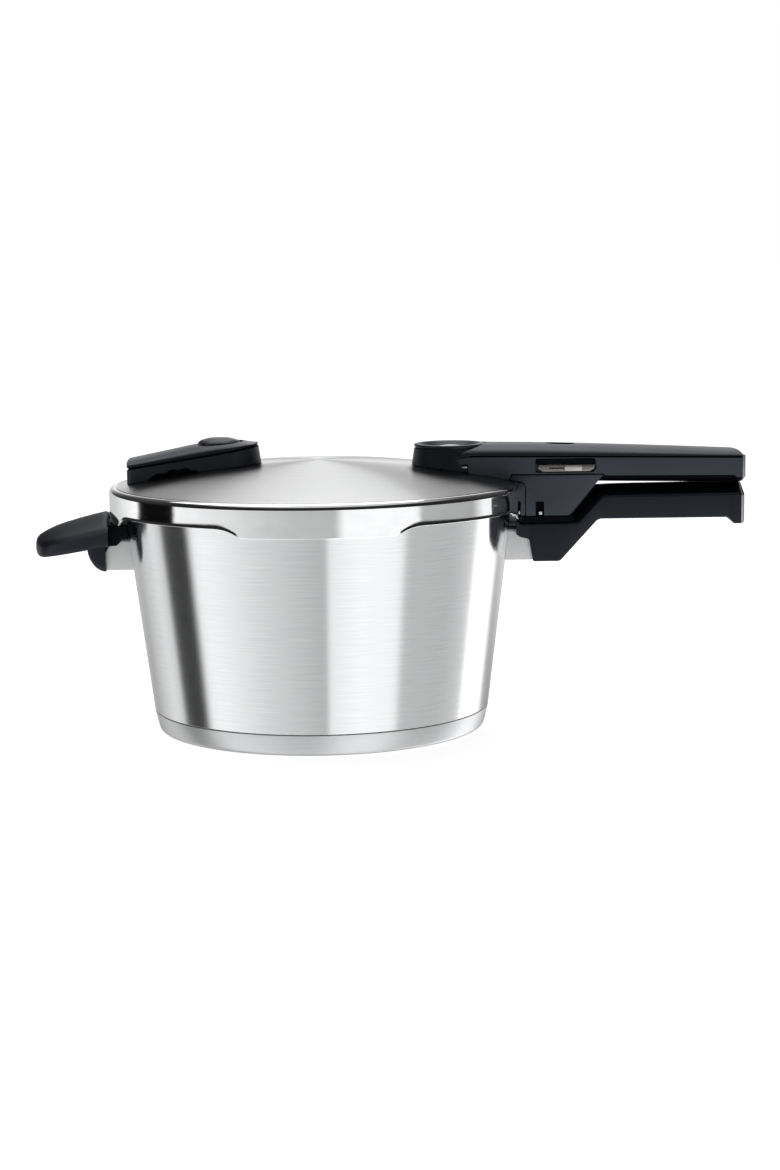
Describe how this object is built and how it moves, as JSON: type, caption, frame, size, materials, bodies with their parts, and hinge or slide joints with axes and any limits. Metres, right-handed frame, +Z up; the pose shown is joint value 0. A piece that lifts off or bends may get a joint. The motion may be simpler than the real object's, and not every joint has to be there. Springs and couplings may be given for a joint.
{
  "type": "stovetop pressure cooker",
  "caption": "Stovetop pressure cooker: steel pot with bayonet lid, long handles, helper handle, sliding lock, pressure indicator and steam valves.",
  "frame": {"origin": "centre of the flat face under the base", "axes": "+Z up along the pot's axis, +X from the pot's axis towards the long handles"},
  "size_m": [0.4145, 0.244, 0.171],
  "materials": {
    "pot_steel": "fine horizontal brushing",
    "lid_steel": "brushed dome, polished rim",
    "polished_steel": "polished",
    "aluminium_core": "plain",
    "handle_plastic": "satin moulded",
    "dark_plastic": "satin moulded",
    "window_plastic": "gloss",
    "flag_plastic": "gloss",
    "silver_trim": "satin",
    "slider_metal": "brushed",
    "seal_rubber": "matt"
  },
  "bodies": {
    "pot": {"pot_shell": "pot_steel", "base_core": "aluminium_core", "base_cap": "pot_steel", "pot_handle_bracket": "polished_steel", "pot_handle": "handle_plastic", "pot_handle_end_cap": "silver_trim", "pot_handle_screws": "polished_steel", "strike_plate": "dark_plastic", "strike_screws": "polished_steel", "helper_bracket": "polished_steel", "helper_handle": "handle_plastic", "helper_screw": "polished_steel"},
    "lid": {"lid_shell": "lid_steel", "sealing_ring": "seal_rubber", "lid_handle_bracket": "polished_steel", "lid_bracket_screw": "polished_steel", "lid_handle_base": "handle_plastic", "lid_handle_cover": "handle_plastic", "lock_window": "window_plastic", "lid_handle_end_cap": "silver_trim", "lid_handle_screws": "polished_steel", "latch_housing": "handle_plastic", "latch_pins": "polished_steel", "slot_strip": "dark_plastic", "slide_plate": "slider_metal", "hub_housing": "handle_plastic", "hub_bezel": "handle_plastic", "valve_body": "polished_steel", "valve_nut": "polished_steel", "valve_seal": "seal_rubber", "indicator_spring": "polished_steel", "vent_base": "handle_plastic", "vent_cover": "handle_plastic", "vent_cover_screws": "polished_steel", "vent_tube": "polished_steel", "vent_nut": "polished_steel", "vent_seal": "seal_rubber", "vent_spring": "polished_steel", "float_body": "polished_steel", "float_nut": "polished_steel"},
    "slider": {"slide_knob": "polished_steel", "slide_bar": "polished_steel", "lock_flag": "flag_plastic"},
    "bolt": {"latch_bolt": "polished_steel"},
    "indicator": {"indicator_cap": "dark_plastic", "indicator_stem": "polished_steel", "indicator_clip": "polished_steel"},
    "steam_button": {"vent_button": "handle_plastic", "vent_stem": "polished_steel"},
    "float_valve": {"float_pin": "polished_steel"}
  },
  "joints": [
    {"name": "lid_turn", "type": "hinge", "parent": "pot", "child": "lid", "pos_m": [0, 0, 0], "axis": [0, 0, 1], "range_deg": [0, 40]},
    {"name": "lock_slide", "type": "slide", "parent": "lid", "child": "slider", "axis": [-1, 0, 0], "range_m": [0, 0.01]},
    {"name": "bolt_drop", "type": "slide", "parent": "lid", "child": "bolt", "axis": [0, 0, -1], "range_m": [0, 0.005]},
    {"name": "indicator_rise", "type": "slide", "parent": "lid", "child": "indicator", "axis": [0, 0, 1], "range_m": [0, 0.005], "stiffness_N_per_m": 800, "springref_m": -0.002, "deforming": ["indicator_spring"]},
    {"name": "steam_button_press", "type": "slide", "parent": "lid", "child": "steam_button", "axis": [0, 0, -1], "range_m": [0, 0.004], "stiffness_N_per_m": 500, "springref_m": -0.002, "deforming": ["vent_spring"]},
    {"name": "float_rise", "type": "slide", "parent": "lid", "child": "float_valve", "axis": [0, 0, 1], "range_m": [0, 0.0025]}
  ],
  "couplings": [
    {"joint": "bolt_drop", "follows": "lock_slide", "ratio": 0.5}
  ]
}
